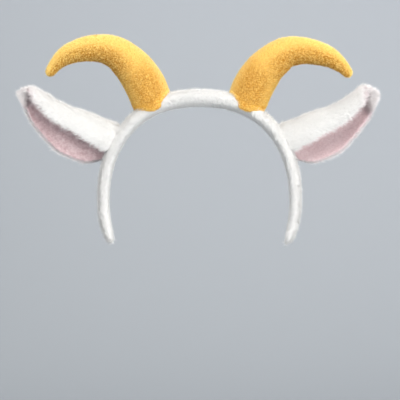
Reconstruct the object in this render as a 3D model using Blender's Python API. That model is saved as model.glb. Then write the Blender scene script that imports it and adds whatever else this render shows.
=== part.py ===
# Plush ram horns headband: a fur-covered band that goes over the head, with two stuffed horns
# sewn on top and two lined ears sewn on below them.
# Metres, +Z up. The wearer faces -Y, so the wearer's right is at -X. The origin is on the inner
# face of the band, at the top of the head.

import math

import bmesh
import bpy
import numpy as np

MM = 0.001

# Clearance between pieces that are sewn together
GAP = 0.3 * MM

# Band
HEAD_WIDTH = 188 * MM  # inside the band, at its widest level
CROWN_RISE = 98.5 * MM  # from the widest level up to the inner face at the crown
HEAD_SQUARENESS = 2.2  # of the inner curve: 2 is an ellipse, and more is fuller at the shoulders
TUCK_DEPTH = 82 * MM  # how far below the widest level the inner curve would close
BAND_REACH = 33 * MM  # how far the ends go below the widest level
BAND_THICKNESS = 16 * MM
BAND_DEPTH = 31 * MM  # front to back at the crown
BAND_END_LENGTH = 9 * MM  # rounding of each end
BAND_OVAL = 0.85  # of the section: 1 is an ellipse, and less is squarer

# Horns
HORN_SPAN = 100.8 * MM  # between the middles of the two bases
HORN_SINK = 1.5 * MM  # the base's middle below the band's outer face
HORN_GIRTH = 38.2 * MM  # diameter at the base
HORN_SKIRT = 10.8 * MM  # rounded end that laps the band
HORN_TIP_RADIUS = 5.5 * MM
HORN_SWEEP_BACK = 9 * MM  # how far the tip leans behind the base
RIGHT_HORN_REACH = 107.2 * MM  # outward from the base's middle to the tip
LEFT_HORN_REACH = 106.2 * MM
RIGHT_HORN_RISE = 56.1 * MM  # upward from the base's middle to the top of the bend
LEFT_HORN_RISE = 54.4 * MM

# Ears
EAR_SEAT_DROP = 42 * MM  # from the crown down to the band's inner face under the root
RIGHT_EAR_LENGTH = 107.5 * MM
LEFT_EAR_LENGTH = 104.5 * MM
EAR_HEIGHT = 51 * MM
EAR_DEPTH = 31 * MM  # front to back of the folded leaf
EAR_ANGLE = 65.7  # degrees from straight up to the ear's length
EAR_ROOT_SINK = 2.5 * MM  # how far the root reaches into the band before it is trimmed
SHELL_WALL = 4.5 * MM  # fur outside of the ear
LINING_WALL = 1.5 * MM
LINING_SET_BACK = 0.8 * MM  # lining's edge short of the shell's edge

# What differs between the two sides, which are sewn by hand. The flap is how many degrees
# further down the front the ear's flap reaches at its tip.
SIDES = (
    {"name": "right", "sign": -1, "horn_reach": RIGHT_HORN_REACH, "horn_rise": RIGHT_HORN_RISE,
     "ear_length": RIGHT_EAR_LENGTH, "ear_flap": 0.0},
    {"name": "left", "sign": 1, "horn_reach": LEFT_HORN_REACH, "horn_rise": LEFT_HORN_RISE,
     "ear_length": LEFT_EAR_LENGTH, "ear_flap": 7.0},
)

# Band sections from the crown, 0, to the end, 1, as shares of the thickness and depth
BAND_COLUMNS = ("along", "thick", "deep")
BAND_SECTIONS = (
    (0.00, 1.00, 1.00),
    (0.18, 0.98, 1.00),
    (0.35, 0.86, 0.99),
    (0.60, 0.71, 0.95),
    (0.80, 0.58, 0.88),
    (1.00, 0.52, 0.76),
)

# Horn sections from the base, 0, to the tip, 1: outward and upward as shares of the horn's
# reach and rise, and the diameter as a share of the girth
HORN_COLUMNS = ("along", "out", "up", "girth")
HORN_SECTIONS = (
    (0.00, 0.000, 0.000, 0.98),
    (0.10, 0.048, 0.240, 1.00),
    (0.20, 0.112, 0.476, 0.99),
    (0.29, 0.178, 0.660, 0.96),
    (0.37, 0.260, 0.807, 0.90),
    (0.44, 0.341, 0.918, 0.84),
    (0.53, 0.452, 0.988, 0.75),
    (0.63, 0.596, 1.000, 0.65),
    (0.73, 0.730, 0.954, 0.565),
    (0.82, 0.841, 0.859, 0.465),
    (0.89, 0.913, 0.743, 0.38),
    (0.94, 0.961, 0.638, 0.32),
    (1.00, 1.000, 0.495, 0.28),
)

# Creases of each horn: place along it, angle round it in degrees (0 outside the bend, 90 at
# the front, 180 in the crook), depth as a share of the local radius, half length as a share of
# the horn, and half width in degrees
CREASE_COLUMNS = ("along", "around", "depth", "length", "width")
CREASES = {
    "right": (
        (0.43, 158, 0.09, 0.042, 50),
        (0.56, 185, 0.06, 0.038, 45),
        (0.73, 20, 0.06, 0.036, 40),
    ),
    "left": (
        (0.47, 165, 0.09, 0.042, 50),
        (0.60, 190, 0.06, 0.038, 45),
        (0.33, 215, 0.06, 0.040, 45),
    ),
}

# Ear sections from the root, 0, to the tip, 1. The middle and half height are shares of the
# ear's height, the half depth is a share of half the depth, and shift is how far the section
# sits back, as a share of the depth. The leaf wraps an oval from aim - spread, the lower edge,
# to aim + spread, the flap's edge, in degrees: 0 is behind, 90 on top, 180 in front.
EAR_COLUMNS = ("along", "middle", "half", "deep", "shift", "aim", "spread")
EAR_SECTIONS = (
    (0.00, -0.090, 0.455, 0.86, 0.00, 75, 125),
    (0.10, -0.194, 0.543, 0.95, 0.00, 65, 115),
    (0.19, -0.234, 0.572, 1.00, 0.00, 63, 113),
    (0.28, -0.246, 0.577, 1.00, 0.00, 60, 110),
    (0.37, -0.250, 0.567, 1.00, 0.00, 58, 109),
    (0.47, -0.244, 0.533, 1.00, 0.00, 57, 109),
    (0.56, -0.204, 0.492, 0.98, -0.01, 57, 109),
    (0.65, -0.150, 0.447, 0.95, -0.03, 56, 108),
    (0.74, -0.086, 0.412, 0.90, -0.06, 54, 106),
    (0.84, -0.014, 0.335, 0.85, -0.10, 52, 108),
    (0.93, 0.004, 0.300, 0.81, -0.15, 32, 76),
    (1.00, 0.000, 0.290, 0.80, -0.18, 12, 58),
)
TIP_START = 0.74  # where the ear's edges begin to round towards the tip

# Mesh resolution
BAND_STATIONS, BAND_SIDES = 42, 20
HORN_STATIONS, HORN_SIDES = 22, 20
EAR_STATIONS, EAR_TIP_STATIONS, EAR_STRIPS = 17, 8, 17
LINING_STRIPS = 15
ROUND_STEPS = (0.3, 0.55, 0.78, 0.94)  # rings of a rounded end, as shares of a quarter turn
SKIRT_STEPS = (0.96, 0.82, 0.6, 0.3)  # rings of a horn's skirt, from its end
SKIRT_FULLNESS = 6  # 2 rounds the skirt like a ball, and more keeps it fuller
RIM_ROUNDING = (0.3, 0.06)  # how far the leaf's wall closes at its edge and one strip in
RIM_CROWDING = 0.35  # 0 spaces the strips evenly, and 1 crowds them at the edges
SINK_STEP = 0.5 * MM


def clear_scene():
    for old in list(bpy.data.objects):
        bpy.data.objects.remove(old, do_unlink=True)


def read_table(rows, columns, share):
    # Values of every column at a share along, on a smooth curve through the rows
    table = np.array(rows, float)
    at = table[:, 0]
    share = min(max(share, at[0]), at[-1])
    slopes = np.gradient(table, at, axis=0)
    i = min(int(np.searchsorted(at, share, side="right")) - 1, len(at) - 2)
    step = at[i + 1] - at[i]
    t = (share - at[i]) / step
    value = (
        (2 * t**3 - 3 * t**2 + 1) * table[i]
        + (t**3 - 2 * t**2 + t) * step * slopes[i]
        + (3 * t**2 - 2 * t**3) * table[i + 1]
        + (t**3 - t**2) * step * slopes[i + 1]
    )
    return dict(zip(columns, value))


def linear(code):
    # sRGB hex to the linear values that a material takes
    parts = [int(code[i : i + 2], 16) / 255 for i in (0, 2, 4)]
    return [p / 12.92 if p <= 0.04045 else ((p + 0.055) / 1.055) ** 2.4 for p in parts] + [1.0]


def make_material(name, code, roughness):
    material = bpy.data.materials.new(name)
    material.use_nodes = True
    shader = material.node_tree.nodes["Principled BSDF"]
    shader.inputs["Base Color"].default_value = linear(code)
    shader.inputs["Roughness"].default_value = roughness
    shader.inputs["Metallic"].default_value = 0.0
    return material


def closed_skin(name, loops, first_point, last_point, material):
    # One closed body from rings of points, with a fan to a point at each end
    mesh = bmesh.new()
    rings = [[mesh.verts.new(tuple(p)) for p in loop] for loop in loops]
    for ring, following in zip(rings, rings[1:]):
        for i in range(len(ring)):
            k = (i + 1) % len(ring)
            mesh.faces.new((ring[i], ring[k], following[k], following[i]))
    for ring, point in ((rings[0], first_point), (rings[-1], last_point)):
        peak = mesh.verts.new(tuple(point))
        for i in range(len(ring)):
            mesh.faces.new((ring[i], ring[(i + 1) % len(ring)], peak))
    return finish_mesh(name, mesh, material)


def folded_skin(name, sections, material):
    # One closed body from sections that are each an outer row and an inner row of points,
    # joined along both edges and at both ends
    mesh = bmesh.new()
    outer = [[mesh.verts.new(tuple(p)) for p in rows[0]] for rows in sections]
    inner = [[mesh.verts.new(tuple(p)) for p in rows[1]] for rows in sections]
    for layer in (outer, inner):
        for row, following in zip(layer, layer[1:]):
            for i in range(len(row) - 1):
                mesh.faces.new((row[i], row[i + 1], following[i + 1], following[i]))
    for s in range(len(sections) - 1):
        for i in (0, -1):
            mesh.faces.new((outer[s][i], outer[s + 1][i], inner[s + 1][i], inner[s][i]))
    for s in (0, -1):
        for i in range(len(outer[s]) - 1):
            mesh.faces.new((outer[s][i], outer[s][i + 1], inner[s][i + 1], inner[s][i]))
    return finish_mesh(name, mesh, material)


def finish_mesh(name, mesh, material):
    bmesh.ops.recalc_face_normals(mesh, faces=mesh.faces)
    if mesh.calc_volume(signed=True) < 0:
        bmesh.ops.reverse_faces(mesh, faces=mesh.faces)
    data = bpy.data.meshes.new(name)
    mesh.to_mesh(data)
    mesh.free()
    data.shade_smooth()
    made = bpy.data.objects.new(name, data)
    if material:
        data.materials.append(material)
    bpy.context.scene.collection.objects.link(made)
    return made


def signed_power(value, power):
    return math.copysign(abs(value) ** power, value)


def band_turn():
    # Angle from the crown at which the band ends, with 90 degrees at the widest level
    return math.pi / 2 + math.asin((BAND_REACH / TUCK_DEPTH) ** (HEAD_SQUARENESS / 2))


def band_frame(turn):
    # Inner point and outward direction of the band at an angle from the crown
    width = HEAD_WIDTH / 2
    rise = CROWN_RISE if abs(turn) <= math.pi / 2 else TUCK_DEPTH
    across, upward = math.sin(turn), math.cos(turn)
    power = 2 / HEAD_SQUARENESS
    inner = np.array([
        width * signed_power(across, power), 0.0,
        rise * signed_power(upward, power) - CROWN_RISE,
    ])
    outward = np.array([
        signed_power(across, 2 - power) / width, 0.0, signed_power(upward, 2 - power) / rise,
    ])
    return inner, outward / np.linalg.norm(outward)


def band_section(turn):
    found = read_table(BAND_SECTIONS, BAND_COLUMNS, abs(turn) / band_turn())
    return BAND_THICKNESS * found["thick"], BAND_DEPTH * found["deep"]


def band_outer(turn):
    inner, outward = band_frame(turn)
    return inner + outward * band_section(turn)[0]


def band_turn_at_drop(drop):
    # Angle at which the inner face is this far below the crown
    return math.acos((1 - drop / CROWN_RISE) ** (HEAD_SQUARENESS / 2))


def make_band(name, material, grow=0.0):
    # Oval sections along the inner curve; the ends are rounded off along it
    end = band_turn()
    loops, tips = [], []
    stations = [(share * end, 0.0) for share in np.linspace(-1, 1, BAND_STATIONS)]
    rounding = [math.sin(q * math.pi / 2) for q in ROUND_STEPS]
    before = [(-end, -q) for q in reversed(rounding)]
    after = [(end, q) for q in rounding]
    for turn, past in before + stations + after:
        inner, outward = band_frame(turn)
        along = np.array([outward[2], 0.0, -outward[0]])
        thick, deep = band_section(turn)
        scale = math.sqrt(1 - past * past)
        middle = inner + outward * thick / 2 + along * past * (BAND_END_LENGTH + grow)
        loop = []
        for k in range(BAND_SIDES):
            angle = 2 * math.pi * k / BAND_SIDES
            up, side = math.cos(angle), math.sin(angle)
            up = signed_power(up, BAND_OVAL) * (thick / 2 + grow) * scale
            side = signed_power(side, BAND_OVAL) * (deep / 2 + grow) * scale
            loop.append(middle + outward * up + np.array([0.0, side, 0.0]))
        loops.append(loop)
        if abs(past) == rounding[-1]:
            rest = math.copysign(1 - rounding[-1], past) * (BAND_END_LENGTH + grow)
            tips.append(middle + along * rest)
    return closed_skin(name, loops, tips[0], tips[1], material)


def height_over_band(point):
    # How far a point lies outside the band's outer face, and a large value beside the band
    turns = np.linspace(-math.pi / 2, math.pi / 2, 361)
    frames = [band_frame(turn) for turn in turns]
    off = [abs(np.cross(outward, point - inner)[1]) for inner, outward in frames]
    ahead = [float(outward @ (point - inner)) > 0 for inner, outward in frames]
    best = min((o, i) for i, o in enumerate(off) if ahead[i])[1]
    inner, outward = frames[best]
    thick, deep = band_section(turns[best])
    share = abs(point[1]) / (deep / 2)
    if share >= 1:
        return math.inf
    face = thick / 2 * (1 + (1 - share ** (2 / BAND_OVAL)) ** (BAND_OVAL / 2))
    return float(outward @ (point - inner)) - face


def sink_to_band(point, backward):
    # The point moved backward until it is inside the band by the root's sink
    moved = 0.0
    while height_over_band(point + backward * moved) > -EAR_ROOT_SINK and moved < BAND_THICKNESS:
        moved += SINK_STEP
    return point + backward * moved


def trim_to_band(piece, cutter):
    trim = piece.modifiers.new("Seat on the band", "BOOLEAN")
    trim.operation = "DIFFERENCE"
    trim.object = cutter


def horn_base(sign):
    # The point on the band's outer face at the middle of this horn's base
    low, high = 0.0, math.pi / 2
    for _ in range(40):
        turn = (low + high) / 2
        if band_outer(turn)[0] < HORN_SPAN / 2:
            low = turn
        else:
            high = turn
    outward = band_frame(turn)[1]
    base = band_outer(turn) - outward * HORN_SINK
    return np.array([sign * base[0], 0.0, base[2]])


def horn_spine(side, share):
    row = read_table(HORN_SECTIONS, HORN_COLUMNS, share)
    step = np.array([
        side["sign"] * row["out"] * side["horn_reach"],
        row["out"] ** 2 * HORN_SWEEP_BACK,
        row["up"] * side["horn_rise"],
    ])
    return horn_base(side["sign"]) + step, row["girth"] * HORN_GIRTH / 2


def crease_factor(side, share, angle):
    factor = 1.0
    for values in CREASES[side["name"]]:
        crease = dict(zip(CREASE_COLUMNS, values))
        turn = (math.degrees(angle) - crease["around"] + 180) % 360 - 180
        near = ((share - crease["along"]) / crease["length"]) ** 2 + (turn / crease["width"]) ** 2
        factor -= crease["depth"] * math.exp(-near)
    return factor


def make_horn(side, material, cutter):
    sign = side["sign"]
    fine = np.linspace(0, 1, 240)
    points = np.array([horn_spine(side, s)[0] for s in fine])
    length = float(np.linalg.norm(np.diff(points, axis=0), axis=1).sum())
    round_share = HORN_TIP_RADIUS / length
    body = list(np.linspace(0, 1 - round_share, HORN_STATIONS))
    tip = [1 - round_share * (1 - math.sin(q * math.pi / 2)) for q in ROUND_STEPS]
    start = horn_spine(side, 0.0)[0]
    direction = horn_spine(side, 0.02)[0] - start
    direction /= np.linalg.norm(direction)
    front = np.array([0.0, -1.0, 0.0])

    def ring(middle, ahead, radius, share):
        forward = front - ahead * float(front @ ahead)
        forward /= np.linalg.norm(forward)
        outside = np.array([sign * -ahead[2], 0.0, sign * ahead[0]])
        outside -= ahead * float(outside @ ahead)
        outside /= np.linalg.norm(outside)
        loop = []
        for k in range(HORN_SIDES):
            angle = 2 * math.pi * k / HORN_SIDES
            reach = radius * crease_factor(side, share, angle)
            loop.append(middle + reach * (math.cos(angle) * outside + math.sin(angle) * forward))
        return loop

    loops = []
    base_radius = horn_spine(side, 0.0)[1]
    for q in SKIRT_STEPS:
        middle = start - direction * HORN_SKIRT * q
        loops.append(ring(middle, direction, base_radius * math.sqrt(1 - q**SKIRT_FULLNESS), 0.0))
    for share in body + tip:
        middle, radius = horn_spine(side, share)
        ahead = horn_spine(side, min(share + 0.01, 1))[0] - horn_spine(side, share - 0.01)[0]
        left = (1 - share) / round_share
        if left < 1:
            radius *= math.sqrt(1 - (1 - left) ** 2)
        loops.append(ring(middle, ahead / np.linalg.norm(ahead), radius, share))
    horn = closed_skin(
        f"horn_{side['name']}", loops, start - direction * HORN_SKIRT, horn_spine(side, 1.0)[0],
        material,
    )
    trim_to_band(horn, cutter)


def ear_axes(sign):
    # Root middle on the band's outer face, and the ear's length and height directions
    root = band_outer(band_turn_at_drop(EAR_SEAT_DROP))
    angle = math.radians(EAR_ANGLE)
    ahead = np.array([sign * math.sin(angle), 0.0, math.cos(angle)])
    up = np.array([-sign * math.cos(angle), 0.0, math.sin(angle)])
    return np.array([sign * root[0], 0.0, root[2]]), ahead, up


def ear_rows(side, share, last_share, inset, wall, set_back, strips):
    # Outer and inner rows of points of the folded leaf at one share of the ear's length
    root, ahead, up = ear_axes(side["sign"])
    row = read_table(EAR_SECTIONS, EAR_COLUMNS, share)
    spread = row["spread"]
    fade = 1.0
    if share > TIP_START:
        past = (share - TIP_START) / (last_share - TIP_START)
        fade = math.sqrt(max(1 - past * past, 0.0))
    half_deep = row["deep"] * EAR_DEPTH / 2
    half_high = row["half"] * EAR_HEIGHT
    middle = (
        root
        + ahead * share * side["ear_length"]
        + up * row["middle"] * EAR_HEIGHT
        + np.array([0.0, row["shift"] * EAR_DEPTH, 0.0])
    )

    def place(angle, depth):
        back, high = half_deep * math.cos(angle), half_high * math.sin(angle)
        normal = np.array([math.cos(angle) / half_deep, math.sin(angle) / half_high])
        normal /= np.linalg.norm(normal)
        back -= depth * normal[0]
        high -= depth * normal[1]
        return middle + np.array([0.0, back, 0.0]) + up * high

    def pull_in(angle):
        # The set back as an angle at this edge
        speed = math.hypot(half_deep * math.sin(angle), half_high * math.cos(angle))
        return fade * set_back / speed

    aim = math.radians(row["aim"])
    low = aim - math.radians(spread) * fade
    high = aim + math.radians(spread + side["ear_flap"] * share) * fade
    low += pull_in(low)
    high -= pull_in(high)
    even = np.linspace(0, 1, strips + 1)
    crowded = 0.5 - 0.5 * np.cos(math.pi * even)
    angles = low + (high - low) * (RIM_CROWDING * crowded + (1 - RIM_CROWDING) * even)
    # The wall rounds off at both edges
    inward = np.zeros(strips + 1)
    for k, closing in enumerate(RIM_ROUNDING):
        inward[[k, -1 - k]] = closing
    outer = [place(a, inset + wall * k) for a, k in zip(angles, inward)]
    inner = [place(a, inset + wall * (1 - k)) for a, k in zip(angles, inward)]
    return outer, inner


def make_leaf(name, side, inset, wall, set_back, strips, material, cutter):
    last = 1 - set_back / side["ear_length"]
    body = list(np.linspace(0, TIP_START, EAR_STATIONS, endpoint=False))
    turns = np.linspace(0, ROUND_STEPS[-1] * math.pi / 2, EAR_TIP_STATIONS)
    tip = [TIP_START + (last - TIP_START) * math.sin(turn) for turn in turns]
    sections = [ear_rows(side, s, last, inset, wall, set_back, strips) for s in body + tip]
    backward = -ear_axes(side["sign"])[1]
    root = tuple([sink_to_band(p, backward) for p in row] for row in sections[0])
    sections.insert(0, root)
    leaf = folded_skin(name, sections, material)
    trim_to_band(leaf, cutter)


def make_ear(side, fur, lining, cutter):
    make_leaf(f"ear_{side['name']}", side, 0.0, SHELL_WALL, 0.0, EAR_STRIPS, fur, cutter)
    make_leaf(
        f"ear_lining_{side['name']}", side, SHELL_WALL + GAP, LINING_WALL, LINING_SET_BACK,
        LINING_STRIPS, lining, cutter,
    )


def main():
    clear_scene()
    white = make_material("white_fur", "f2f3f0", 0.95)
    gold = make_material("gold_plush", "f0c168", 0.9)
    pink = make_material("pink_plush", "c8b0b4", 0.92)
    make_band("headband", white)
    cutter = make_band("band_clearance", None, grow=GAP)
    cutter.hide_render = True
    cutter.display_type = "WIRE"
    for side in SIDES:
        make_horn(side, gold, cutter)
        make_ear(side, white, pink, cutter)


main()
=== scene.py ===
import math

import bmesh
import bpy
import numpy as np
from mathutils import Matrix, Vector
from mathutils.bvhtree import BVHTree


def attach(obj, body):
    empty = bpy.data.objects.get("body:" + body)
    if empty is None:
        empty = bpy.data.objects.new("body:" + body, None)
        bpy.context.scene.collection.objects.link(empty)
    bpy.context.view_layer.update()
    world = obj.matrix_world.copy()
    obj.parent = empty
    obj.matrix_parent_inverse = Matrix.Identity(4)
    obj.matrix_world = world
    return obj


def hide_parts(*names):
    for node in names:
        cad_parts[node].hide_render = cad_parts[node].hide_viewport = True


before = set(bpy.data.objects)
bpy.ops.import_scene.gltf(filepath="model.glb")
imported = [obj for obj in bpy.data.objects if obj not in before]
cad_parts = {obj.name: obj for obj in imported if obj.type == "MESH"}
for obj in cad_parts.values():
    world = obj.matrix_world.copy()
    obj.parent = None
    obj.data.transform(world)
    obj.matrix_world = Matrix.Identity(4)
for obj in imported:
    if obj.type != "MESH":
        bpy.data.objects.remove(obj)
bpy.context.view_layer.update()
print("Frame loaded:", ", ".join(sorted(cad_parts)))

mm = 0.001


# Small helpers

def linearColour(code):
    # sRGB hex to the linear values that Blender takes
    parts = [int(code[i : i + 2], 16) / 255 for i in (0, 2, 4)]
    return [p / 12.92 if p <= 0.04045 else ((p + 0.055) / 1.055) ** 2.4 for p in parts] + [1.0]


def inUse(sockets, key):
    # Some nodes hold several sockets of one name, of which one is in use
    if isinstance(key, int):
        return sockets[key]
    return next(s for s in sockets if s.name == key and s.enabled)


def addNode(tree, kind, inputs=None, **settings):
    # A node with its settings; an input is a value or the socket that feeds it
    node = tree.nodes.new(kind)
    for key, value in settings.items():
        setattr(node, key, value)
    for key, value in (inputs or {}).items():
        socket = inUse(node.inputs, key)
        if isinstance(value, bpy.types.NodeSocket):
            tree.links.new(value, socket)
        else:
            socket.default_value = value
    return node


def getPoints(mesh):
    flat = np.empty(len(mesh.vertices) * 3)
    mesh.vertices.foreach_get("co", flat)
    return flat.reshape(-1, 3)


def setPoints(mesh, points):
    mesh.vertices.foreach_set("co", np.asarray(points, float).ravel())
    mesh.update()


def getNormals(mesh):
    flat = np.empty(len(mesh.vertices) * 3)
    mesh.vertex_normals.foreach_get("vector", flat)
    return flat.reshape(-1, 3)


def smoothStep(low, high, values):
    t = np.clip((values - low) / (high - low), 0, 1)
    return t * t * (3 - 2 * t)


def unit(vectors):
    return vectors / np.maximum(np.linalg.norm(vectors, axis=-1, keepdims=True), 1e-9)


def link(piece):
    bpy.context.scene.collection.objects.link(piece)
    return piece


def copyNode(nodeName, pieceName):
    # A CAD node's shape as a mesh whose triangles are joined
    mesh = bmesh.new()
    mesh.from_mesh(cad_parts[nodeName].data)
    bmesh.ops.remove_doubles(mesh, verts=mesh.verts, dist=0.01 * mm)
    data = bpy.data.meshes.new(pieceName)
    mesh.to_mesh(data)
    mesh.free()
    data.materials.clear()
    return link(bpy.data.objects.new(pieceName, data))


def applyModifiers(piece):
    depsgraph = bpy.context.evaluated_depsgraph_get()
    done = bpy.data.meshes.new_from_object(piece.evaluated_get(depsgraph))
    done.name = piece.name
    piece.modifiers.clear()
    piece.data = done
    return piece


def remesh(piece, size):
    skin = piece.modifiers.new("Even skin", "REMESH")
    skin.mode = "VOXEL"
    skin.voxel_size = size
    return applyModifiers(piece)


def subdivide(piece, levels=1):
    finer = piece.modifiers.new("Finer", "SUBSURF")
    finer.levels = finer.render_levels = levels
    return applyModifiers(piece)


def thin(piece, share):
    # Leaves about this share of the triangles; the pile hides the difference
    fewer = piece.modifiers.new("Fewer faces", "DECIMATE")
    fewer.ratio = share
    applyModifiers(piece).data.validate()
    return piece


def relax(piece, rounds, share=0.5, unshrink=1.04):
    # Evens the skin out without the shrinking that plain smoothing gives
    mesh = piece.data
    edges = np.empty(len(mesh.edges) * 2, dtype=np.int64)
    mesh.edges.foreach_get("vertices", edges)
    a, b = edges.reshape(-1, 2).T
    count = np.bincount(np.concatenate([a, b]), minlength=len(mesh.vertices)).reshape(-1, 1)
    points = getPoints(mesh)
    for _ in range(rounds):
        for step in (share, -share * unshrink):
            total = np.zeros_like(points)
            np.add.at(total, a, points[b])
            np.add.at(total, b, points[a])
            points = points + step * (total / np.maximum(count, 1) - points)
    setPoints(mesh, points)
    return piece


def wayTo(points, others):
    # The shortest way from each point to these CAD nodes, and its length
    best, way = np.full(len(points), 1.0), np.zeros_like(points)
    for name in others:
        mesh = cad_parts[name].data
        tree = BVHTree.FromPolygons(getPoints(mesh).tolist(), [p.vertices for p in mesh.polygons])
        found = [tree.find_nearest(Vector(p)) for p in points]
        far = np.array([hit[3] for hit in found])
        closer = far < best
        best[closer] = far[closer]
        way[closer] = (np.array([hit[0] for hit in found]) - points)[closer]
    return best, way


def distanceTo(points, others):
    return wayTo(points, others)[0]


sewnWithin = (0.5 * mm, 2.2 * mm)  # skin this near to another piece is drawn on to it
heldWithin = (1 * mm, 4 * mm)  # and the cloth is held this near to it, so that it can't swell


def takeIn(piece, inset, seatedOn, reach):
    # Draws the skin inward, but towards the piece that it is sewn to
    points = getPoints(piece.data)
    far, way = wayTo(points, seatedOn)
    seated = 1 - smoothStep(*sewnWithin, far)[:, None]
    points -= (1 - seated) * inset * getNormals(piece.data)
    setPoints(piece.data, points + seated * reach * unit(way))


def dropFields(mesh, names):
    for name in names:
        if name in mesh.attributes:
            mesh.attributes.remove(mesh.attributes[name])


def storeField(mesh, name, values):
    dropFields(mesh, [name])
    kind = "FLOAT" if values.ndim == 1 else "FLOAT_VECTOR"
    field = mesh.attributes.new(name, kind, "POINT")
    field.data.foreach_set("value" if kind == "FLOAT" else "vector", values.ravel().astype(float))


def storeLay(piece, lay):
    # The way the pile lies, kept along the skin
    normals = getNormals(piece.data)
    flat = lay - np.sum(lay * normals, axis=1, keepdims=True) * normals
    storeField(piece.data, "lay", unit(flat))


clothSteps = 20
clothQuality = 5


def stuff(piece, pressure, cap, held=None):
    # Fills the skin like a cushion; held is how firmly each point stays, 0 to 1
    start = getPoints(piece.data)
    scene = bpy.context.scene
    filling = piece.modifiers.new("Filling", "CLOTH")
    cloth = filling.settings
    cloth.use_pressure = True
    cloth.uniform_pressure_force = pressure
    cloth.effector_weights.gravity = 0
    cloth.quality = clothQuality
    filling.collision_settings.use_collision = False
    if held is not None:
        group = piece.vertex_groups.new(name="held")
        for i in np.nonzero(held > 0.01)[0]:
            group.add([int(i)], float(held[i]), "REPLACE")
        cloth.vertex_group_mass = "held"
    filling.point_cache.frame_start = 1
    filling.point_cache.frame_end = clothSteps
    for step in range(1, clothSteps + 1):
        scene.frame_set(step)
    applyModifiers(piece)
    scene.frame_set(1)
    move = getPoints(piece.data) - start
    length = np.linalg.norm(move, axis=1, keepdims=True)
    move *= cap * np.tanh(length / cap) / np.maximum(length, 1e-9)
    if held is not None:
        move *= 1 - held.reshape(-1, 1)
    setPoints(piece.data, start + move)
    piece.vertex_groups.clear()
    return piece


# Materials

def newMaterial(name):
    material = bpy.data.materials.new(name)
    material.use_nodes = True
    tree = material.node_tree
    return material, tree, tree.nodes["Principled BSDF"]


def makePileMaterial(name, colours, speckle, look):
    # Fibres: deeper at the root, and speckled darker where a stored field asks; on the horns and
    # on one lining that speckle is partly painted shade, and on the horns the blush colour is a
    # painted highlight
    material, tree, shader = newMaterial(name)
    rise = addNode(tree, "ShaderNodeAttribute", attribute_name="rise")
    tint = addNode(tree, "ShaderNodeAttribute", attribute_name="tint")
    darkSpeckle = addNode(tree, "ShaderNodeAttribute", attribute_name="darkSpeckle")
    blush = addNode(tree, "ShaderNodeAttribute", attribute_name="blush")
    place = addNode(tree, "ShaderNodeTexCoord")
    grain = addNode(tree, "ShaderNodeTexNoise", {
        "Vector": place.outputs["Object"], "Scale": 1 / speckle["size"], "Detail": 2.0,
        "Roughness": 0.7,
    })
    length = addNode(tree, "ShaderNodeMix", {
        "Factor": rise.outputs["Fac"], "A": linearColour(colours["root"]),
        "B": linearColour(colours["tip"]),
    }, data_type="RGBA")
    blushed = addNode(tree, "ShaderNodeMix", {
        "Factor": blush.outputs["Fac"], "A": length.outputs[2],
        "B": linearColour(colours["blush"]),
    }, data_type="RGBA")
    uneven = addNode(tree, "ShaderNodeMath", {
        0: tint.outputs["Fac"], 1: speckle["fibre"], 2: grain.outputs["Fac"],
    }, operation="MULTIPLY_ADD")
    dark = addNode(tree, "ShaderNodeMapRange", {
        "Value": uneven.outputs[0], "From Min": speckle["from"], "From Max": speckle["to"],
        "To Min": 0.0, "To Max": 1.0,
    }, interpolation_type="SMOOTHSTEP")
    mostSpeckle = addNode(tree, "ShaderNodeMapRange", {
        "Value": darkSpeckle.outputs["Fac"], "To Min": speckle["leastSpeckle"],
        "To Max": speckle["mostSpeckle"],
    })
    amount = addNode(tree, "ShaderNodeMath", {
        0: dark.outputs["Result"], 1: mostSpeckle.outputs["Result"],
    }, operation="MULTIPLY")
    mixed = addNode(tree, "ShaderNodeMix", {
        "Factor": amount.outputs[0], "A": blushed.outputs[2],
        "B": linearColour(colours["dark"]),
    }, data_type="RGBA")
    tree.links.new(mixed.outputs[2], shader.inputs["Base Color"])
    shader.inputs["Roughness"].default_value = look["roughness"]
    shader.inputs["Sheen Weight"].default_value = look["sheen"]
    shader.inputs["Sheen Roughness"].default_value = look["sheenRoughness"]
    shader.inputs["Sheen Tint"].default_value = linearColour(colours["tip"])
    shader.inputs["Specular IOR Level"].default_value = look["specular"]
    return material


# What the knitted backings share
knit = {"contrast": (0.35, 0.65), "bumpDepth": 0.6 * mm, "roughness": 0.95, "specular": 0.2}


def makeBackingMaterial(name, colour, shadeColour, tuftSize, bumpStrength):
    # Knitted backing that shows between the fibres
    material, tree, shader = newMaterial(name)
    place = addNode(tree, "ShaderNodeTexCoord")
    tufts = addNode(tree, "ShaderNodeTexNoise", {
        "Vector": place.outputs["Object"], "Scale": 1 / tuftSize, "Detail": 3.0,
        "Roughness": 0.65,
    })
    spread = addNode(tree, "ShaderNodeMapRange", {
        "Value": tufts.outputs["Fac"], "From Min": knit["contrast"][0],
        "From Max": knit["contrast"][1],
    })
    mixed = addNode(tree, "ShaderNodeMix", {
        "Factor": spread.outputs["Result"], "A": linearColour(shadeColour),
        "B": linearColour(colour),
    }, data_type="RGBA")
    bump = addNode(tree, "ShaderNodeBump", {
        "Height": tufts.outputs["Fac"], "Strength": bumpStrength, "Distance": knit["bumpDepth"],
    })
    tree.links.new(mixed.outputs[2], shader.inputs["Base Color"])
    tree.links.new(bump.outputs["Normal"], shader.inputs["Normal"])
    shader.inputs["Roughness"].default_value = knit["roughness"]
    shader.inputs["Specular IOR Level"].default_value = knit["specular"]
    return material


furLook = {"roughness": 0.85, "sheen": 0.15, "sheenRoughness": 0.5, "specular": 0.25}
plushLook = dict(furLook, roughness=0.8)

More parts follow.
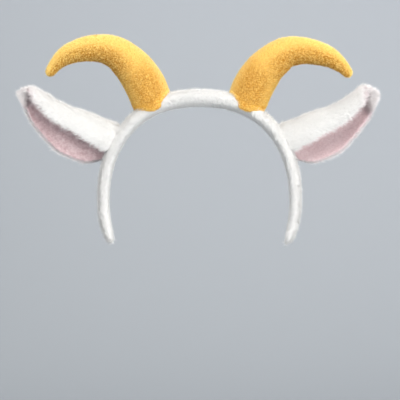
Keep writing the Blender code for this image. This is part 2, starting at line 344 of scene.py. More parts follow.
# Acrylic faux fur, knitted and brushed: soft white fibres, a little creamier at the root, and
# pinkish where it faces the lining
furPile = makePileMaterial(
    "White acrylic faux fur",
    {"root": "efeeec", "tip": "f4f3f1", "dark": "dddcda", "blush": "e9d3d6"},
    {"size": 2.5 * mm, "fibre": 0.3, "from": 0.55, "to": 0.95, "leastSpeckle": 0.35, "mostSpeckle": 0.8},
    furLook)
furBacking = makeBackingMaterial(
    "White knitted fur backing", "f6f5f3", "e8e7e5", tuftSize=2 * mm, bumpStrength=0.6)
# Polyester plush, short and dense: bright tips over a browner gold root. Dark speckles, drawn at
# 1.5 mm so that they show, are partly the plush's grain and partly painted shade in the crook; the
# pale blush colour is a painted highlight.
goldPile = makePileMaterial(
    "Gold short polyester plush",
    {"root": "fbd46c", "tip": "ffea96", "dark": "c4831f", "blush": "fff4be"},
    {"size": 1.5 * mm, "fibre": 0.3, "from": 0.56, "to": 0.7, "leastSpeckle": 0.06, "mostSpeckle": 1.0},
    plushLook)
goldBacking = makeBackingMaterial(
    "Gold knitted plush backing", "f6cd66", "cc9030", tuftSize=1 * mm, bumpStrength=0.8)
# Polyester velour, very short: a dull, patchy pink, speckled darker on one lining as painted shade
pinkPile = makePileMaterial(
    "Pink polyester velour",
    {"root": "f6dfe0", "tip": "fef2f2", "dark": "d6b8bb", "blush": "fbf6f6"},
    {"size": 3 * mm, "fibre": 0.3, "from": 0.5, "to": 0.85, "leastSpeckle": 0.45, "mostSpeckle": 1.0},
    plushLook)
pinkBacking = makeBackingMaterial(
    "Pink knitted velour backing", "f4dedf", "d8bec0", tuftSize=1 * mm, bumpStrength=0.6)
print("Materials made")


# Pile, grown by one node tree

fibreForm = {
    "taper": 2.0,  # power of the height by which a fibre narrows
    "widths": (0.7, 1.2),  # shares of the width that the fibres have
    "gatherBend": 1.5,  # powers of the height by which a fibre bends to its tuft
    "droopBend": 2.0,  # and droops
    "sink": 0.6,  # how far it droops down for each step along
}


def makePileTree():
    tree = bpy.data.node_groups.new("Grow a pile", "GeometryNodeTree")
    tree.is_modifier = True
    tree.interface.new_socket("Geometry", in_out="INPUT", socket_type="NodeSocketGeometry")
    for name, kind in (
        ("Density", "Float"), ("Length", "Float"), ("Length spread", "Float"), ("Width", "Float"),
        ("Lean", "Float"), ("Lean spread", "Float"), ("Tousle", "Float"), ("Droop", "Float"),
        ("Clump size", "Float"), ("Clump pull", "Float"), ("Frizz size", "Float"),
        ("Frizz", "Float"), ("Seed", "Int"), ("Material", "Material"),
    ):
        tree.interface.new_socket(name, in_out="INPUT", socket_type="NodeSocket" + kind)
    tree.interface.new_socket("Geometry", in_out="OUTPUT", socket_type="NodeSocketGeometry")
    start = addNode(tree, "NodeGroupInput").outputs
    end = addNode(tree, "NodeGroupOutput")

    def math1(operation, *values):
        node = addNode(tree, "ShaderNodeMath", dict(enumerate(values)), operation=operation)
        return node.outputs[0]

    def vector1(operation, *values, out=0, **more):
        node = addNode(tree, "ShaderNodeVectorMath", dict(enumerate(values)), operation=operation)
        for key, value in more.items():
            tree.links.new(value, node.inputs[key.capitalize()])
        return node.outputs[out]

    def field(name, kind="FLOAT"):
        return addNode(
            tree, "GeometryNodeInputNamedAttribute", {"Name": name}, data_type=kind,
        ).outputs["Attribute"]

    def chance(low, high, seedStep):
        seed = addNode(tree, "FunctionNodeIntegerMath", {0: start["Seed"], 1: seedStep})
        return inUse(addNode(tree, "FunctionNodeRandomValue", {
            "Min": low, "Max": high, "Seed": seed.outputs[0],
        }, data_type="FLOAT").outputs, "Value")

    def store(geometry, name, value, kind="FLOAT"):
        return addNode(tree, "GeometryNodeStoreNamedAttribute", {
            "Geometry": geometry, "Name": name, "Value": value,
        }, data_type=kind, domain="POINT").outputs["Geometry"]

    # One fibre: a strip 1 wide and 1 long that tapers to a point
    grid = addNode(tree, "GeometryNodeMeshGrid", {
        "Size X": 1.0, "Size Y": 1.0, "Vertices X": 2, "Vertices Y": 3,
    })
    place = addNode(tree, "ShaderNodeSeparateXYZ", {
        0: addNode(tree, "GeometryNodeInputPosition").outputs[0],
    }).outputs
    height = math1("ADD", place["Y"], 0.5)
    narrow = math1("SUBTRACT", 1.0, math1("POWER", height, fibreForm["taper"]))
    shaped = addNode(tree, "ShaderNodeCombineXYZ", {
        "X": math1("MULTIPLY", place["X"], narrow), "Y": 0.0, "Z": height,
    })
    marked = store(grid.outputs["Mesh"], "rise", height)
    standing = addNode(tree, "GeometryNodeSetPosition", {
        "Geometry": marked, "Position": shaped.outputs[0],
    })
    fibre = addNode(tree, "GeometryNodeMergeByDistance", {
        "Geometry": standing.outputs[0], "Distance": 0.001,
    })

    # Roots
    scatter = addNode(tree, "GeometryNodeDistributePointsOnFaces", {
        "Mesh": start["Geometry"], "Seed": start["Seed"],
        "Density": math1("MULTIPLY", start["Density"], field("pileShare")),
    })
    normal = scatter.outputs["Normal"]
    turned = addNode(tree, "ShaderNodeVectorRotate", {
        "Vector": field("lay", "FLOAT_VECTOR"), "Axis": normal,
        "Angle": math1("MULTIPLY", start["Tousle"], chance(-1.0, 1.0, 1)),
    }, rotation_type="AXIS_ANGLE").outputs[0]
    leanMore = math1("MULTIPLY", start["Lean spread"], chance(-1.0, 1.0, 2))
    lean = math1("ADD", start["Lean"], leanMore)
    toward = vector1(
        "ADD", vector1("SCALE", normal, scale=math1("COSINE", lean)),
        vector1("SCALE", turned, scale=math1("SINE", lean)),
    )
    across = vector1("CROSS_PRODUCT", toward, normal)
    pose = addNode(tree, "FunctionNodeAxesToRotation", {
        "Primary Axis": toward, "Secondary Axis": across,
    }, primary_axis="Z", secondary_axis="X")
    longer = math1("MULTIPLY", start["Length spread"], chance(-1.0, 1.0, 3))
    span = math1(
        "MULTIPLY", math1("MULTIPLY", start["Length"], field("pileLength")),
        math1("ADD", 1.0, longer),
    )
    position = addNode(tree, "GeometryNodeInputPosition").outputs[0]
    roots = store(scatter.outputs["Points"], "root", position, "FLOAT_VECTOR")
    roots = store(roots, "up", normal, "FLOAT_VECTOR")
    roots = store(roots, "along", turned, "FLOAT_VECTOR")
    roots = store(roots, "span", span)
    roots = store(roots, "tint", chance(0.0, 1.0, 4))
    width = math1("MULTIPLY", start["Width"], chance(*fibreForm["widths"], 5))
    size = addNode(tree, "ShaderNodeCombineXYZ", {"X": width, "Y": 1.0, "Z": span})
    planted = addNode(tree, "GeometryNodeInstanceOnPoints", {
        "Points": roots, "Instance": fibre.outputs[0], "Rotation": pose.outputs[0],
        "Scale": size.outputs[0],
    })
    real = addNode(tree, "GeometryNodeRealizeInstances", {"Geometry": planted.outputs[0]})

    # Tips gather into tufts, droop along the lay and frizz
    root, up = field("root", "FLOAT_VECTOR"), field("up", "FLOAT_VECTOR")
    rise = field("rise")
    tuft = addNode(tree, "ShaderNodeTexVoronoi", {
        "Vector": root, "Scale": math1("DIVIDE", 1.0, start["Clump size"]),
    })
    gather = vector1("SUBTRACT", tuft.outputs["Position"], root)
    above = vector1("DOT_PRODUCT", gather, up, out="Value")
    gather = vector1("SUBTRACT", gather, vector1("SCALE", up, scale=above))
    gather = vector1("SCALE", gather, scale=math1(
        "MULTIPLY", start["Clump pull"], math1("POWER", rise, fibreForm["gatherBend"])))
    down = vector1("MULTIPLY", up, [fibreForm["sink"]] * 3)
    fall = vector1("SUBTRACT", field("along", "FLOAT_VECTOR"), down)
    fall = vector1("SCALE", fall, scale=math1(
        "MULTIPLY", math1("MULTIPLY", start["Droop"], field("span")),
        math1("POWER", rise, fibreForm["droopBend"])))
    waves = addNode(tree, "ShaderNodeTexNoise", {
        "Vector": position, "Scale": math1("DIVIDE", 1.0, start["Frizz size"]), "Detail": 1.0,
    })
    frizz = vector1("SUBTRACT", waves.outputs["Color"], (0.5, 0.5, 0.5))
    frizz = vector1("SCALE", frizz, scale=math1("MULTIPLY", start["Frizz"], rise))
    moved = addNode(tree, "GeometryNodeSetPosition", {
        "Geometry": real.outputs[0], "Offset": vector1("ADD", vector1("ADD", gather, fall), frizz),
    })
    finished = addNode(tree, "GeometryNodeSetMaterial", {
        "Geometry": moved.outputs[0], "Material": start["Material"],
    })
    tree.links.new(finished.outputs[0], end.inputs[0])
    return tree


pileTree = makePileTree()


def growPile(cloth, pieceName, pile, material):
    # Fibres on a copy of the cloth, made into a piece of their own
    grower = cloth.modifiers.new("Pile", "NODES")
    grower.node_group = pileTree
    values = {
        "Density": pile["perSquareMm"] / mm**2, "Length": pile["length"],
        "Length spread": pile["lengthSpread"], "Width": pile["width"],
        "Lean": math.radians(pile["lean"]), "Lean spread": math.radians(pile["leanSpread"]),
        "Tousle": math.radians(pile["tousle"]), "Droop": pile["droop"],
        "Clump size": pile["clumpSize"], "Clump pull": pile["clumpPull"],
        "Frizz size": pile["frizzSize"], "Frizz": pile["frizz"], "Seed": pile["seed"],
        "Material": material,
    }
    for item in pileTree.interface.items_tree:
        if item.item_type == "SOCKET" and item.in_out == "INPUT" and item.name in values:
            grower[item.identifier] = values[item.name]
    depsgraph = bpy.context.evaluated_depsgraph_get()
    mesh = bpy.data.meshes.new_from_object(cloth.evaluated_get(depsgraph))
    cloth.modifiers.remove(grower)
    dropFields(mesh, ("root", "up", "along", "span", "pileShare", "pileLength", "lay"))
    mesh.name = pieceName
    made = link(bpy.data.objects.new(pieceName, mesh))
    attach(made, "root")
    print(f"  {pieceName}: {len(mesh.polygons) // 2} fibres")
    return made


def dress(cloth, nodeName, material):
    # A finished cloth takes its node's place
    dropFields(cloth.data, ("lay", "pileShare", "pileLength", "darkSpeckle", "blush"))
    cloth.data.materials.clear()
    cloth.data.materials.append(material)
    cloth.data.shade_smooth()
    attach(cloth, "root")
    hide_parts(nodeName)


# Shares of the triangles that the cloths and the linings keep, so that the pile can have more
clothShare = 0.6
liningShare = 0.42


# Band

band = {
    "voxel": 2.5 * mm,
    "inset": 0.7 * mm,  # the backing lies this far inside the fur's surface
    "pressure": 4.0,  # of the filling
    "cap": 1.2 * mm,  # the most that the filling moves the skin
    "headMiddle": (0.0, 0.0, -98.5 * mm),  # the band goes round this point
    "leanOut": 0.25,  # how much the fur leans to the front and back edges
    "leanOutOver": (2 * mm, 14 * mm),  # how far from the middle that begins and is full
    "fallOver": 0.3,  # how much it falls over those edges
    "innerFace": (0.2, 0.8),  # how squarely the inner face looks at the head
    "innerThinning": 0.4,  # share of the fibres that the inner face lacks
    "innerTrim": 0.5,  # and of their length
    "clear": (1.0 * mm, 1.6 * mm),  # no fibres this near to what is sewn on, and all of them
    "pile": {
        "perSquareMm": 2.8, "length": 4.2 * mm, "lengthSpread": 0.5, "width": 0.39 * mm,
        "lean": 50, "leanSpread": 22, "tousle": 55, "droop": 0.25,
        "clumpSize": 3.2 * mm, "clumpPull": 0.4, "frizzSize": 3 * mm, "frizz": 2.2 * mm,
        "seed": 11,
    },
}


def makeBand():
    piece = copyNode("headband", "headband_fur_cloth")
    remesh(piece, band["voxel"])
    setPoints(piece.data, getPoints(piece.data) - band["inset"] * getNormals(piece.data))
    stuff(piece, band["pressure"], band["cap"])
    relax(piece, 2)
    thin(subdivide(piece), clothShare)
    points, normals = getPoints(piece.data), getNormals(piece.data)
    middle = np.array(band["headMiddle"])
    radial = unit((points - middle) * (1, 0, 1))
    along = np.stack([radial[:, 2], 0 * radial[:, 1], -radial[:, 0]], axis=1)
    aside = np.sign(points[:, 1:2]) * smoothStep(*band["leanOutOver"], np.abs(points[:, 1:2]))
    edge = np.abs(normals[:, 1:2])
    inner = smoothStep(*band["innerFace"], -np.sum(normals * radial, axis=1))
    near = distanceTo(points, ["horn_right", "horn_left", "ear_right", "ear_left"])
    # One strip of fur, so it lies one way along the band, and falls to the edges
    out = np.array([0.0, band["leanOut"], 0.0])
    storeLay(piece, along + aside * out - band["fallOver"] * edge * radial)
    storeField(piece.data, "pileShare",
               smoothStep(*band["clear"], near) * (1 - band["innerThinning"] * inner))
    storeField(piece.data, "pileLength", 1 - band["innerTrim"] * inner)
    storeField(piece.data, "darkSpeckle", inner)
    growPile(piece, "headband_fur", band["pile"], furPile)
    dress(piece, "headband", furBacking)


makeBand()
print("Band made")


# Horns

horn = {
    # Pairs named Over are the shares of the length, from base to tip, at which something begins
    # and is full
    "voxel": 1.8 * mm,
    "inset": -0.2 * mm,  # below 0, so the backing stands proud of the solid
    "tipInset": 1.1 * mm,
    "tipInsetOver": (0.75, 1.0),
    "reach": 1.0 * mm,  # how far the base is drawn down on to the band's backing
    "flare": 2.2 * mm,  # the base swells this far towards the middle of the band
    "flareOver": (0.35, 0.1),
    "drop": 2.4 * mm,  # and hangs this far down over it
    "dropOver": (0.12, 0.0),
    "sag": {"right": 0.0, "left": 2.0 * mm},  # one horn's outer half hangs lower
    "sagOver": (0.45, 0.75),
    "sagEndOver": (1.0, 0.85),
    "pressure": 4.0,
    "cap": 1.3 * mm,
    "seamDepth": 0.4 * mm,
    "seamWidth": 1.6 * mm,
    "seamOver": (0.02, 0.08),
    "seamEndOver": (0.9, 0.97),
    "clear": (0.2 * mm, 0.8 * mm),  # no fibres this near to the band, and all of them
    "seamTrim": 0.1,  # share of the fibres' length that the seam lacks
    "seamTrimWidth": 1.2 * mm,
    "turnWithin": (5.0 * mm, 1.5 * mm),  # this near to the band, the nap falls over the stitches
    "turnOver": (0.12, 0.06),
    "turnTrim": 0.5,
    # Where the dark speckle goes, which is partly the plush's grain and partly painted shade in
    # the crook, and where a painted highlight pales the outside of the bend. The pairs named Round
    # are how squarely the plush faces outside the
    # bend: 1 is outside, 0 at the front and back, -1 in the crook.
    "crookRound": (0.5, -0.35),
    "crookOver": (0.15, 0.38),
    "crookLeast": 0.3,
    "frontRound": (0.95, 0.55),
    "frontEndRound": (-0.95, -0.3),
    "frontSpeckle": 0.9,
    "frontOver": (0.32, 0.16),
    "paintedHighlight": 0.25,
    "highlightRound": (0.6, 0.95),
    "pile": {
        "perSquareMm": 3.4, "length": 1.9 * mm, "lengthSpread": 0.3, "width": 0.38 * mm,
        "lean": 38, "leanSpread": 18, "tousle": 60, "droop": 0.15,
        "clumpSize": 1.5 * mm, "clumpPull": 0.45, "frizzSize": 2 * mm, "frizz": 0.6 * mm,
        "seed": 21,
    },
    # Middle line from the base to the tip, in mm: x away from the middle, y back, z up
    "line": {
        "right": (
            (49.8, 0.0, 3.5), (53.9, 0.0, 14.8), (59.3, 0.1, 26.0), (65.4, 0.2, 36.1),
            (73.4, 0.4, 45.2), (83.4, 0.9, 53.2), (94.1, 1.5, 58.1), (106.4, 2.5, 59.8),
            (119.0, 3.8, 59.1), (130.8, 5.1, 56.1), (141.5, 6.6, 50.7), (150.5, 7.9, 42.2),
            (157.0, 9.0, 31.3),
        ),
        "left": (
            (49.8, 0.0, 3.5), (53.9, 0.0, 14.4), (59.2, 0.1, 25.3), (65.3, 0.2, 35.2),
            (73.2, 0.4, 43.9), (83.0, 0.9, 51.7), (93.7, 1.5, 56.4), (105.9, 2.5, 58.1),
            (118.4, 3.8, 57.4), (130.0, 5.1, 54.5), (140.6, 6.6, 49.2), (149.6, 7.9, 41.0),
            (156.0, 9.0, 30.5),
        ),
    },
}
sideSign = {"right": -1, "left": 1}  # of x


def alongLine(points, line):
    # Where each point lies along the line, the nearest point of it, and its direction there
    best = np.full(len(points), 1e9)
    place, near = np.zeros(len(points)), np.zeros_like(points)
    ahead = np.zeros_like(points)
    steps = unit(np.diff(line, axis=0))
    corners = unit(np.vstack([steps[:1], steps[1:] + steps[:-1], steps[-1:]]))
    for i in range(len(line) - 1):
        a, b = line[i], line[i + 1]
        t = np.clip((points - a) @ (b - a) / ((b - a) @ (b - a)), 0, 1)
        at = a + t[:, None] * (b - a)
        far = np.linalg.norm(points - at, axis=1)
        closer = far < best
        best[closer] = far[closer]
        place[closer] = (i + t[closer]) / (len(line) - 1)
        near[closer] = at[closer]
        blend = (1 - t[:, None]) * corners[i] + t[:, None] * corners[i + 1]
        ahead[closer] = blend[closer]
    return place, near, unit(ahead)


def roundBend(points, line, side):
    # The same, with the way outside the bend and how squarely each point faces it
    place, near, ahead = alongLine(points, line)
    outside = sideSign[side] * np.stack([-ahead[:, 2], 0 * ahead[:, 1], ahead[:, 0]], axis=1)
    return place, near, ahead, outside, np.sum(unit(points - near) * outside, axis=1)


def makeHorn(side):
    node = f"horn_{side}"
    piece = copyNode(node, f"{node}_plush_cloth")
    remesh(piece, horn["voxel"])
    line = np.array(horn["line"][side]) * mm * (sideSign[side], 1, 1)
    points = getPoints(piece.data)
    place, near, ahead, outside, toOutside = roundBend(points, line, side)
    inset = horn["inset"] + horn["tipInset"] * smoothStep(*horn["tipInsetOver"], place)
    flare = smoothStep(*horn["flareOver"], place) * np.maximum(toOutside, 0)
    points += horn["flare"] * flare[:, None] * outside
    points -= horn["drop"] * smoothStep(*horn["dropOver"], place)[:, None] * ahead
    sag = horn["sag"][side] * smoothStep(*horn["sagOver"], place)
    points[:, 2] -= sag * smoothStep(*horn["sagEndOver"], place)
    setPoints(piece.data, points)
    takeIn(piece, inset[:, None], ["headband"], horn["reach"])
    start = getPoints(piece.data)
    seated = 1 - smoothStep(*heldWithin, distanceTo(start, ["headband"]))
    stuff(piece, horn["pressure"], horn["cap"], held=seated)
    relax(piece, 2)
    thin(subdivide(piece), clothShare)
    points = getPoints(piece.data)
    place, near, ahead, outside, toOutside = roundBend(points, line, side)
    # The two halves meet in a seam down the outside of the bend and up the crook
    offSeam = np.abs(points[:, 1] - near[:, 1])
    groove = horn["seamDepth"] * np.exp(-((offSeam / horn["seamWidth"]) ** 2))
    groove *= smoothStep(*horn["seamOver"], place) * (1 - smoothStep(*horn["seamEndOver"], place))
    setPoints(piece.data, points - groove[:, None] * getNormals(piece.data))
    # Dark speckle: least along the outside of the bend, and most in the crook and at the base; in
    # the crook it is painted shade under the bend's overhang as well as the plush's grain
    least = horn["crookLeast"]
    crook = smoothStep(*horn["crookRound"], toOutside)
    crook *= least + (1 - least) * smoothStep(*horn["crookOver"], place)
    front = smoothStep(*horn["frontRound"], toOutside)
    front *= smoothStep(*horn["frontEndRound"], toOutside)
    darkSpeckle = np.maximum(crook, horn["frontSpeckle"] * smoothStep(*horn["frontOver"], place) * front)
    covered = distanceTo(points, ["headband"])
    # and it falls over the stitches where the base meets the band
    turn = smoothStep(*horn["turnWithin"], covered) * smoothStep(*horn["turnOver"], place)
    storeLay(piece, ahead * (1 - 2 * turn)[:, None] + outside * (turn * (1 - turn))[:, None])
    storeField(piece.data, "pileShare", smoothStep(*horn["clear"], covered))
    seam = np.exp(-((offSeam / horn["seamTrimWidth"]) ** 2))
    storeField(piece.data, "pileLength",
               (1 - horn["seamTrim"] * seam) * (1 - horn["turnTrim"] * turn))
    storeField(piece.data, "darkSpeckle", darkSpeckle)
    # Painted highlight: the outside of the bend is paled towards the plush's blush colour
    storeField(piece.data, "blush", horn["paintedHighlight"] * smoothStep(*horn["highlightRound"], toOutside))
    pile = dict(horn["pile"], seed=horn["pile"]["seed"] + sideSign[side])
    growPile(piece, f"{node}_pile", pile, goldPile)
    dress(piece, node, goldBacking)


for side in sideSign:
    makeHorn(side)
print("Horns made")


# Ears

ear = {
    # Pairs named Over are the shares of the length, from root to tip, at which something begins
    # and is full
    "root": (90.7 * mm, -35.8 * mm),  # x away from the middle, and z
    "angle": 65.7,  # degrees from straight up to the ear's length
    "length": {"right": 107.5 * mm, "left": 104.5 * mm},
    "voxel": 1.7 * mm,
    "liningVoxel": 0.8 * mm,
    "inset": 0.6 * mm,
    "insetBeyond": (0.8 * mm, 2.6 * mm),  # distance from the lining
    "reach": 1.0 * mm,  # how far the root is drawn on to the band's backing
    "pressure": 2.5,
    "cap": 1.0 * mm,
    # The tip's cloth is drawn in, lifted, spread and made blunter
    "tipInset": 2.6 * mm,
    "tipInsetOver": (0.7, 1.0),
    "tipLift": {"right": 1.4 * mm, "left": 0.8 * mm},
    "tipLiftOver": (0.78, 0.96),
    "bluntTip": 2.6 * mm,
    "bluntTipOver": (0.9, 1.0),
    "tipSpread": {"right": 0.05, "left": 0.3},
    "tipSpreadOver": (0.72, 0.92),
    # The fur lies to the tip, and on the front it also lies down to the flap's edge
    "facing": (-0.3, 1.0),  # how squarely the front looks ahead
    "frontTurn": 0.2,  # how much less it lies to the tip there
    "tipTurn": 0.6,  # and less still at the tip
    "frontDown": 0.6,
    "tipOver": (0.86, 1.0),
    "nearTipOver": (0.74, 0.86),
    "flapRimWithin": (5 * mm, 1 * mm),  # distance from the lining
    "flapRimDepth": (-2 * mm, -6 * mm),  # y
    "lowRimWithin": (4 * mm, 1 * mm),
    "lowRimDepth": (0, 4 * mm),
    "clearOfLining": (0.6 * mm, 1.4 * mm),
    "clearOfBand": (0.1 * mm, 0.8 * mm),
    # Fibres hang longer over the lining in tufts, and are trimmed along the low rim and the tip
    "flapLonger": 0.05,
    "tuftLonger": 0.6,
    "tuftTurns": (75, 2.5, 19),  # waves along the length in radians, their sway, and its waves
    "tipLonger": 0.9,
    "lowTrim": 0.8,
    "tipTrim": 0.3,
    "flapBlush": 0.8,
    "flapBlushOver": (0.6, 0.9),
    "lowBlush": 0.9,
    # Shares of the length over which the lining gives way to fur
    "whiteTip": {"right": (0.86, 0.93), "left": (0.82, 0.90)},
    "liningShade": {"right": 1.0, "left": 0.0},  # painted shade: one lining is speckled darker
    "liningOpen": (0.7 * mm, 1.3 * mm),  # distance from the shell
    "liningTipFill": 3.4,  # the tip stands this many fold heights forward
    "liningTipOpen": (0.2 * mm, 1.0 * mm),
    "liningDown": 0.3,
    "tipFurOpen": (0.2 * mm, 0.8 * mm),
    "tipFurBlush": (1.0, 0.2),  # at the lining and at the tip
    # Soft folds that fan out from the gathered root
    "foldHeight": 1.3 * mm,
    "foldFan": (12 * mm, 20 * mm),  # half height at the root, and how much it widens
    "foldTurns": (5.2, 3.5, 0.6),  # radians across, along and at the start
    "smallFold": 0.5,
    "smallFoldTurns": (9, -6),
    "foldWithin": (1.0 * mm, 4.0 * mm),
    "foldOver": (0.0, 0.15),
    "pile": {
        "perSquareMm": 3.3, "length": 4.5 * mm, "lengthSpread": 0.5, "width": 0.36 * mm,
        "lean": 52, "leanSpread": 20, "tousle": 45, "droop": 0.25,
        "clumpSize": 3.2 * mm, "clumpPull": 0.45, "frizzSize": 2.5 * mm, "frizz": 2.2 * mm,
        "seed": 31,
    },
    "tipPile": {"perSquareMm": 7.0, "lean": 48},  # what differs at the lining's tip
    "liningPile": {
        "perSquareMm": 3.4, "length": 1.8 * mm, "lengthSpread": 0.3, "width": 0.33 * mm,
        "lean": 45, "leanSpread": 15, "tousle": 40, "droop": 0.2,
        "clumpSize": 1.6 * mm, "clumpPull": 0.3, "frizzSize": 2 * mm, "frizz": 0.6 * mm,
        "seed": 41,
    },
}


def earAxes(side):
    sign, angle = sideSign[side], math.radians(ear["angle"])
    root = np.array([sign * ear["root"][0], 0.0, ear["root"][1]])
    ahead = np.array([sign * math.sin(angle), 0.0, math.cos(angle)])
    up = np.array([-sign * math.cos(angle), 0.0, math.sin(angle)])
    return root, ahead, up


def earPlace(points, side):
    # Share of the ear's length at which each point lies, and its height over the middle line
    root, ahead, up = earAxes(side)
    return (points - root) @ ahead / ear["length"][side], (points - root) @ up


def drawTipIn(piece, side):
    points = getPoints(piece.data)
    share, height = earPlace(points, side)
    ahead, up = earAxes(side)[1:]
    spread = (height * smoothStep(*ear["tipSpreadOver"], share))[:, None]
    points += ear["tipSpread"][side] * spread * up
    points -= ear["tipInset"] * smoothStep(*ear["tipInsetOver"], share)[:, None] * ahead
    points[:, 2] += ear["tipLift"][side] * smoothStep(*ear["tipLiftOver"], share)
    points[:, 2] += ear["bluntTip"] * smoothStep(*ear["bluntTipOver"], share)
    setPoints(piece.data, points)


def makeEar(side):
    node, lining = f"ear_{side}", f"ear_lining_{side}"
    ahead, up = earAxes(side)[1:]
    piece = copyNode(node, f"{node}_fur_cloth")
    remesh(piece, ear["voxel"])
    relax(piece, 3)
    points = getPoints(piece.data)
    free = smoothStep(*ear["insetBeyond"], distanceTo(points, [lining]))
    takeIn(piece, ear["inset"] * free[:, None], ["headband"], ear["reach"])
    seated = 1 - smoothStep(*heldWithin, distanceTo(points, ["headband"]))
    stuff(piece, ear["pressure"], ear["cap"], held=np.maximum(1 - free, seated))
    relax(piece, 1)
    thin(subdivide(piece), clothShare)
    points, normals = getPoints(piece.data), getNormals(piece.data)
    share = earPlace(points, side)[0]
    toLining = distanceTo(points, [lining])
    covered = distanceTo(points, ["headband"])
    facing = smoothStep(*ear["facing"], -normals[:, 1])[:, None]
    flapRim = smoothStep(*ear["flapRimWithin"], toLining)
    flapRim *= smoothStep(*ear["flapRimDepth"], points[:, 1])
    lowRim = smoothStep(*ear["lowRimWithin"], toLining)
    lowRim *= smoothStep(*ear["lowRimDepth"], points[:, 1])
    tip = smoothStep(*ear["tipOver"], share)
    turn = (ear["frontTurn"] + ear["tipTurn"] * tip[:, None]) * facing
    storeLay(piece, ahead * (1 - turn) - up * ear["frontDown"] * facing)
    storeField(piece.data, "pileShare", smoothStep(*ear["clearOfLining"], toLining)
               * smoothStep(*ear["clearOfBand"], covered))
    turns, sway, swayTurns = ear["tuftTurns"]
    tufts = 0.5 + 0.5 * np.sin(turns * share + sway * np.sin(swayTurns * share))
    nearTip = smoothStep(*ear["nearTipOver"], share)
    longer = ear["flapLonger"] + ear["tuftLonger"] * tufts * (1 - nearTip)
    longer += ear["tipLonger"] * nearTip
    storeField(piece.data, "pileLength",
               1 + longer * flapRim - ear["lowTrim"] * lowRim * (1 - tip)
               - ear["tipTrim"] * tip * (1 - flapRim))
    flapBlush = ear["flapBlush"] * flapRim * smoothStep(*ear["flapBlushOver"], share)
    storeField(piece.data, "blush", np.maximum(flapBlush, ear["lowBlush"] * lowRim * (1 - tip)))
    drawTipIn(piece, side)
    pile = dict(ear["pile"], seed=ear["pile"]["seed"] + sideSign[side])
    growPile(piece, f"{node}_fur", pile, furPile)
    dress(piece, node, furBacking)
    makeLining(side)


def makeLining(side):
    node, lining = f"ear_{side}", f"ear_lining_{side}"
    ahead, up = earAxes(side)[1:]
    piece = copyNode(lining, f"{lining}_cloth")
    remesh(piece, ear["liningVoxel"])
    relax(piece, 3)
    thin(piece, liningShare)
    points = getPoints(piece.data)
    share, height = earPlace(points, side)
    toShell = distanceTo(points, [node])
    whiteTip = smoothStep(*ear["whiteTip"][side], share)
    rootHalf, widening = ear["foldFan"]
    fan = height / (rootHalf + widening * share)
    across, onward, start = ear["foldTurns"]
    acrossSmall, onwardSmall = ear["smallFoldTurns"]
    folds = np.sin(across * fan + onward * share + start)
    folds += ear["smallFold"] * np.sin(acrossSmall * fan + onwardSmall * share)
    folds *= smoothStep(*ear["foldWithin"], toShell) * smoothStep(*ear["foldOver"], share)
    folds *= 1 - whiteTip
    filled = ear["liningTipFill"] * whiteTip * smoothStep(*ear["liningTipOpen"], toShell)
    points[:, 1] -= ear["foldHeight"] * (folds + filled)
    setPoints(piece.data, points)
    drawTipIn(piece, side)
    storeLay(piece, np.tile(ahead - ear["liningDown"] * up, (len(points), 1)))
    storeField(piece.data, "pileShare", smoothStep(*ear["liningOpen"], toShell))
    storeField(piece.data, "pileLength", np.ones(len(points)))
    storeField(piece.data, "blush", whiteTip)
    # Painted shade: the one lining is speckled darker than the other
    storeField(piece.data, "darkSpeckle", np.full(len(points), ear["liningShade"][side]))
    seed = ear["liningPile"]["seed"] + sideSign[side]
    pile = growPile(
        piece, f"{lining}_pile", dict(ear["liningPile"], seed=seed), pinkPile)
    # The shell's fur laps over the lining's tip
    atLining, atTip = ear["tipFurBlush"]
    storeField(piece.data, "pileShare", smoothStep(*ear["tipFurOpen"], toShell) * whiteTip)
    storeField(piece.data, "blush", atLining - (atLining - atTip) * whiteTip)
    tipPile = dict(ear["pile"], **ear["tipPile"], seed=seed + 10)
    growPile(piece, f"{node}_tip_fur", tipPile, furPile)
    dress(piece, lining, pinkBacking)


for side in sideSign:
    makeEar(side)
print("Ears made")


# Camera, light and surroundings

# The aim is x and z, and across is the width of the picture at the object
view = {"distance": 1.3, "aim": (0.5 * mm, -96.7 * mm), "across": 412 * mm}
camera = bpy.data.cameras.new("camera")
camera.sensor_fit = "HORIZONTAL"
camera.angle = 2 * math.atan(view["across"] / 2 / view["distance"])
cameraObject = link(bpy.data.objects.new("camera", camera))
cameraObject.location = (view["aim"][0], -view["distance"], view["aim"][1])
cameraObject.rotation_euler = (math.pi / 2, 0, 0)
bpy.context.scene.camera = cameraObject

backdrop = {
    "floor": -0.42, "wall": 1.5, "bend": 0.8, "bendSteps": 24, "halfWidth": 4.0,
    "front": -3.5, "top": 4.0, "shadedLowColour": "a6aaad", "litHighColour": "b5b9be",
    # Painted shade: the paper is painted darker low down and paler along this direction, between
    # these distances
    "fade": (0.046, 0.0, 0.18), "fadeFrom": -0.125, "fadeTo": 0.085,
    "roughness": 0.9, "specular": 0.2,
}


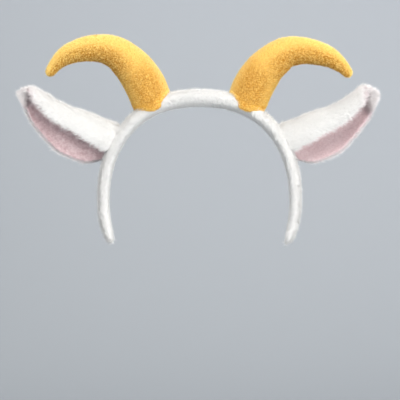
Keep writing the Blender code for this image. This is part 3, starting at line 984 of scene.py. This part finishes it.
def makeBackdrop():
    # One sheet of paper: a floor, a bend and a wall
    profile = [(backdrop["front"], backdrop["floor"])]
    for k in range(backdrop["bendSteps"] + 1):
        turn = math.pi / 2 * k / backdrop["bendSteps"]
        profile.append((
            backdrop["wall"] - backdrop["bend"] * (1 - math.sin(turn)),
            backdrop["floor"] + backdrop["bend"] * (1 - math.cos(turn)),
        ))
    profile.append((backdrop["wall"], backdrop["top"]))
    verts = [(s * backdrop["halfWidth"], y, z) for y, z in profile for s in (-1, 1)]
    faces = [(2 * i, 2 * i + 1, 2 * i + 3, 2 * i + 2) for i in range(len(profile) - 1)]
    mesh = bpy.data.meshes.new("backdrop")
    mesh.from_pydata(verts, [], faces)
    mesh.shade_smooth()
    material, tree, shader = newMaterial("Matt grey backdrop paper")
    place = addNode(tree, "ShaderNodeTexCoord")
    height = addNode(tree, "ShaderNodeVectorMath", {
        0: place.outputs["Object"], 1: backdrop["fade"],
    }, operation="DOT_PRODUCT")
    share = addNode(tree, "ShaderNodeMapRange", {
        "Value": height.outputs["Value"], "From Min": backdrop["fadeFrom"],
        "From Max": backdrop["fadeTo"],
    })
    shade = addNode(tree, "ShaderNodeMix", {
        "Factor": share.outputs["Result"], "A": linearColour(backdrop["shadedLowColour"]),
        "B": linearColour(backdrop["litHighColour"]),
    }, data_type="RGBA")
    tree.links.new(shade.outputs[2], shader.inputs["Base Color"])
    shader.inputs["Roughness"].default_value = backdrop["roughness"]
    shader.inputs["Specular IOR Level"].default_value = backdrop["specular"]
    mesh.materials.append(material)
    link(bpy.data.objects.new("backdrop", mesh))


makeBackdrop()

lights = (
    # name, place, what it faces, width, power, colour
    ("key", (0.3, -1.1, 1.3), (0.0, 0.0, -0.02), 0.9, 25.0, "fffdfa"),
    ("fill", (-1.2, -1.4, 0.9), (0.0, 0.0, -0.02), 1.2, 14.0, "fffffd"),
    ("top", (0.0, 0.1, 1.5), (0.0, 0.0, 0.0), 1.2, 9.0, "fbfcff"),
    ("front", (1.5, -1.8, -0.3), (0.0, 0.0, -0.08), 1.6, 66.0, "fffefc"),
)
for name, place, target, width, power, colour in lights:
    lamp = bpy.data.lights.new(name, "AREA")
    lamp.shape = "SQUARE"
    lamp.size = width
    lamp.energy = power
    lamp.color = linearColour(colour)[:3]
    made = link(bpy.data.objects.new(name, lamp))
    made.location = place
    made.rotation_euler = (Vector(target) - Vector(place)).to_track_quat("-Z", "Y").to_euler()

surround = {"colour": "e4e8ee", "strength": 0.52}
world = bpy.data.worlds.new("Studio")
world.use_nodes = True
background = world.node_tree.nodes["Background"]
background.inputs["Color"].default_value = linearColour(surround["colour"])
background.inputs["Strength"].default_value = surround["strength"]
bpy.context.scene.world = world
bpy.context.scene.view_settings.view_transform = "Standard"
print("Camera, light and backdrop made")
